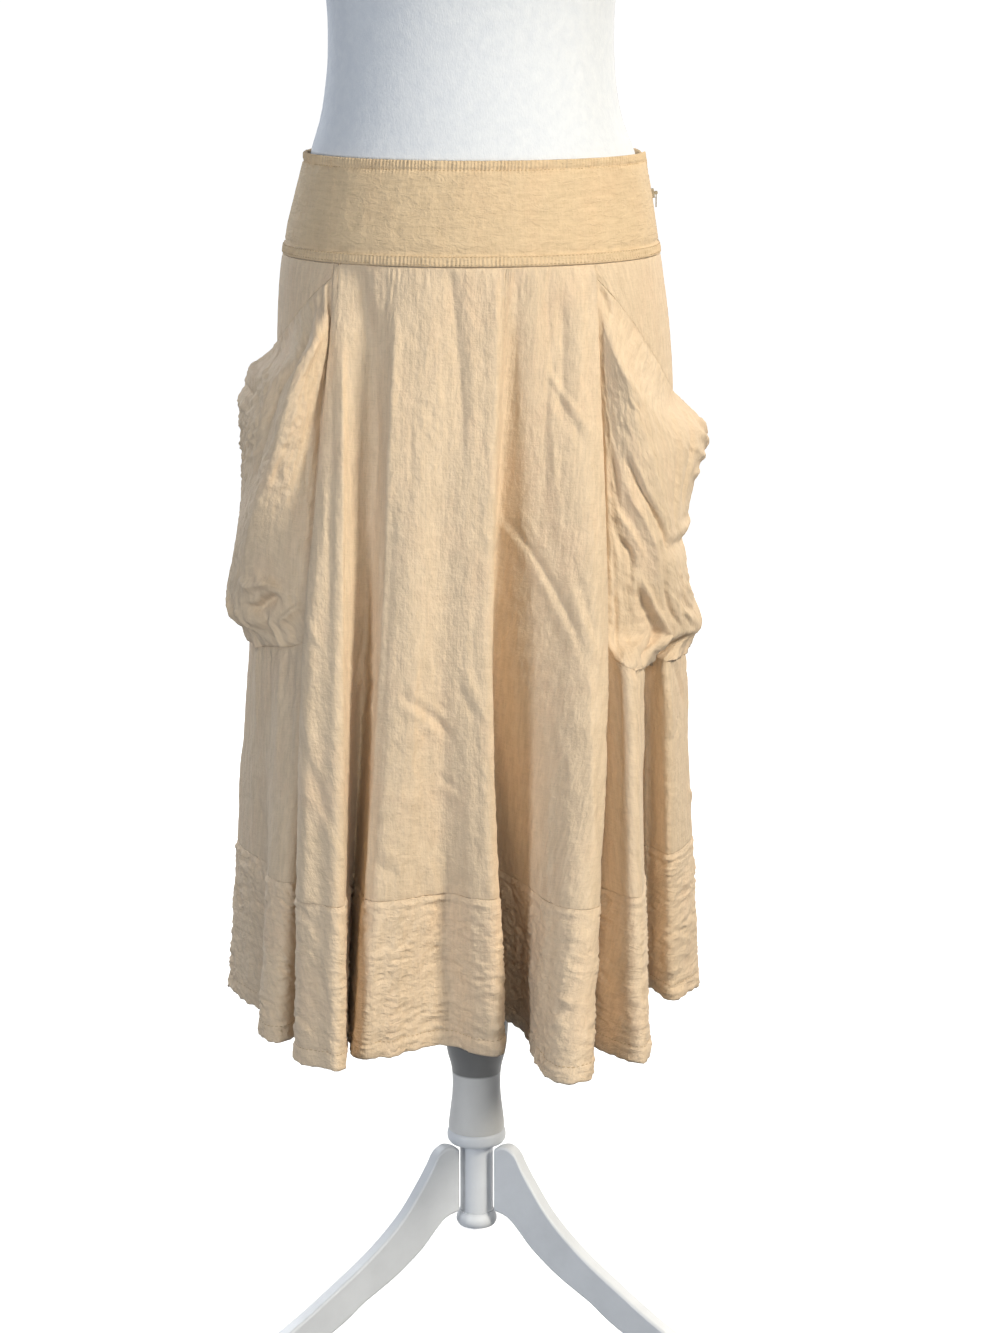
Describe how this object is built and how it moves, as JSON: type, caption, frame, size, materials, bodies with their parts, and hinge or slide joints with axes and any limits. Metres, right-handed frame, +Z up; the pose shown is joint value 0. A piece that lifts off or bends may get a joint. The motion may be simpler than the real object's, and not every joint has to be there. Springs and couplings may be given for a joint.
{
  "type": "tailored skirt on limbless dress form with tripod stand",
  "caption": "Flared midi skirt with a deep waistband, balloon side pockets and a hem band, worn by a limbless dress form on a turned pole and tripod.",
  "frame": {"origin": "on the floor, under the middle of the whole object's box", "axes": "+Z up, the front of the skirt at -Y, +X to the right of someone who looks at the front, which is the wearer's left"},
  "size_m": [0.5702, 0.5766, 1.716],
  "materials": {
    "sand_cloth": "matt crumpled linen and cotton weave",
    "zip_tape": "woven tape with small teeth",
    "zip_metal": "dark antique metal",
    "form_jersey": "stretched white jersey",
    "white_paint": "satin white paint"
  },
  "bodies": {
    "dressed_form": {"waistband_front": "sand_cloth", "waistband_back": "sand_cloth", "front_panel": "sand_cloth", "back_panel": "sand_cloth", "yoke_front_left": "sand_cloth", "yoke_front_right": "sand_cloth", "yoke_back_left": "sand_cloth", "yoke_back_right": "sand_cloth", "pocket_left": "sand_cloth", "pocket_right": "sand_cloth", "side_panel_left": "sand_cloth", "side_panel_right": "sand_cloth", "hem_band_front": "sand_cloth", "hem_band_back": "sand_cloth", "zip_chain": "zip_tape", "zip_slider": "zip_metal", "form_torso": "form_jersey", "form_neck_cap": "white_paint", "stand_pole": "white_paint", "stand_ring": "white_paint", "stand_post": "white_paint", "stand_post_cap": "white_paint", "stand_leg_right": "white_paint", "stand_leg_left": "white_paint", "stand_leg_rear": "white_paint"},
    "zip_tab": {"zip_pull": "zip_metal"}
  },
  "joints": [
    {"name": "zip_pull_hinge", "type": "hinge", "parent": "dressed_form", "child": "zip_tab", "pos_m": [0.1561, -0.04, 1.0847], "axis": [0, -1, 0], "range_deg": [0, 160]}
  ]
}
